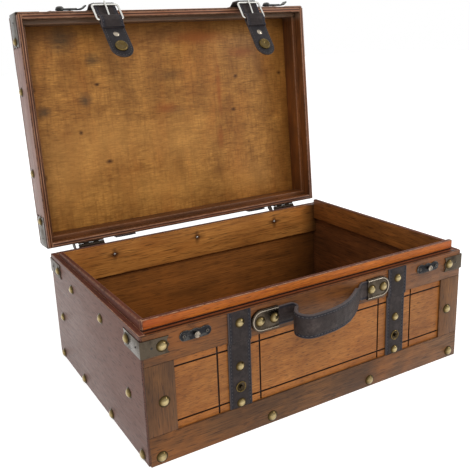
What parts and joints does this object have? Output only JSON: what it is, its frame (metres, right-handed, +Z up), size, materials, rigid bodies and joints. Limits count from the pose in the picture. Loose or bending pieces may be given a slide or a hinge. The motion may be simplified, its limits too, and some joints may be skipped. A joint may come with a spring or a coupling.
{
  "type": "suitcase-style wooden chest",
  "caption": "Suitcase-style wooden chest with lipped tray, stop-hinged lid, buckled leather flaps, hook latches, dome nails and carrying handle, lid open.",
  "frame": {"origin": "middle of the closed box's underside, where it stands", "axes": "+X along the front towards the right as seen from the front, +Y from front to back, +Z up"},
  "size_m": [0.388, 0.3736, 0.4036],
  "materials": {
    "board_wood": "stained and waxed, worn at the edges",
    "field_wood": "stained, fine grain, satin",
    "frame_wood": "stained strips, satin",
    "lip_wood": "orange-brown stain, satin",
    "panel_wood": "golden plywood, satin",
    "liner_wood": "dark stain, satin",
    "strap_leather": "near-black, stitched edges",
    "grip_leather": "near-black, stitched edges, padded",
    "stud_brass": "antique brass domes",
    "bracket_bronze": "dull olive bronze",
    "plate_bronze": "dark bronze, bright bead",
    "catch_pewter": "dark pewter",
    "rivet_brass": "worn antique brass",
    "buckle_nickel": "bright nickel",
    "hinge_black": "black lacquer worn at the knuckles",
    "screw_steel": "dull steel"
  },
  "bodies": {
    "base": {"base_bottom": "liner_wood", "base_front_board": "field_wood", "base_back_board": "board_wood", "base_left_board": "board_wood", "base_right_board": "board_wood", "top_rail": "frame_wood", "bottom_rail": "frame_wood", "left_stile": "frame_wood", "right_stile": "frame_wood", "front_lip": "lip_wood", "left_lip": "lip_wood", "right_lip": "lip_wood", "back_liner": "lip_wood", "base_brackets": "bracket_bronze", "base_studs": "stud_brass", "base_pins": "screw_steel", "left_base_strap": "strap_leather", "right_base_strap": "strap_leather", "base_strap_nails": "stud_brass", "snap_sockets": "rivet_brass", "left_catch_plate": "catch_pewter", "right_catch_plate": "catch_pewter", "base_screws": "screw_steel", "left_handle_plate": "plate_bronze", "right_handle_plate": "plate_bronze", "handle_rivets": "rivet_brass", "left_handle_tab": "grip_leather", "right_handle_tab": "grip_leather", "left_hinge_base_leaf": "hinge_black", "right_hinge_base_leaf": "hinge_black", "hinge_pins": "screw_steel"},
    "handle": {"handle_grip": "grip_leather"},
    "lid": {"lid_top_panel": "panel_wood", "lid_front_board": "field_wood", "lid_back_board": "board_wood", "lid_left_board": "board_wood", "lid_right_board": "board_wood", "lid_front_trim": "frame_wood", "lid_liners": "liner_wood", "lid_brackets": "bracket_bronze", "lid_studs": "stud_brass", "left_lid_strap": "strap_leather", "right_lid_strap": "strap_leather", "lid_strap_nails": "stud_brass", "latch_plates": "catch_pewter", "latch_rivets": "rivet_brass", "left_hinge_lid_leaf": "hinge_black", "right_hinge_lid_leaf": "hinge_black", "lid_screws": "screw_steel"},
    "left_latch": {"left_latch_hook": "catch_pewter"},
    "right_latch": {"right_latch_hook": "catch_pewter"},
    "left_flap": {"left_flap_tongue": "strap_leather", "left_flap_tail": "strap_leather", "left_buckle": "buckle_nickel", "left_flap_studs": "rivet_brass"},
    "right_flap": {"right_flap_tongue": "strap_leather", "right_flap_tail": "strap_leather", "right_buckle": "buckle_nickel", "right_flap_studs": "rivet_brass"}
  },
  "joints": [
    {"name": "lid_hinge", "type": "hinge", "parent": "base", "child": "lid", "pos_m": [0, 0.136, 0.1262], "axis": [1, 0, 0], "range_deg": [0, 94.7]},
    {"name": "left_flap_hinge", "type": "hinge", "parent": "lid", "child": "left_flap", "pos_m": [-0.095, 0.14829, 0.40021], "axis": [1, 0, 0], "range_deg": [-50, 0]},
    {"name": "right_flap_hinge", "type": "hinge", "parent": "lid", "child": "right_flap", "pos_m": [0.095, 0.14829, 0.40021], "axis": [1, 0, 0], "range_deg": [-58, 0]},
    {"name": "left_latch_pivot", "type": "hinge", "parent": "lid", "child": "left_latch", "pos_m": [-0.139, 0.16929, 0.39437], "axis": [0, -0.0819, -0.9966], "range_deg": [0, 90]},
    {"name": "right_latch_pivot", "type": "hinge", "parent": "lid", "child": "right_latch", "pos_m": [0.139, 0.16929, 0.39437], "axis": [0, -0.0819, -0.9966], "range_deg": [0, 90]},
    {"name": "handle_swing", "type": "hinge", "parent": "base", "child": "handle", "pos_m": [0, -0.1367, 0.111], "axis": [1, 0, 0], "range_deg": [-12, 12]}
  ],
  "couplings": [
    {"joint": "left_flap_hinge", "follows": "lid_hinge", "ratio": -0.52798},
    {"joint": "right_flap_hinge", "follows": "lid_hinge", "ratio": -0.61246}
  ]
}
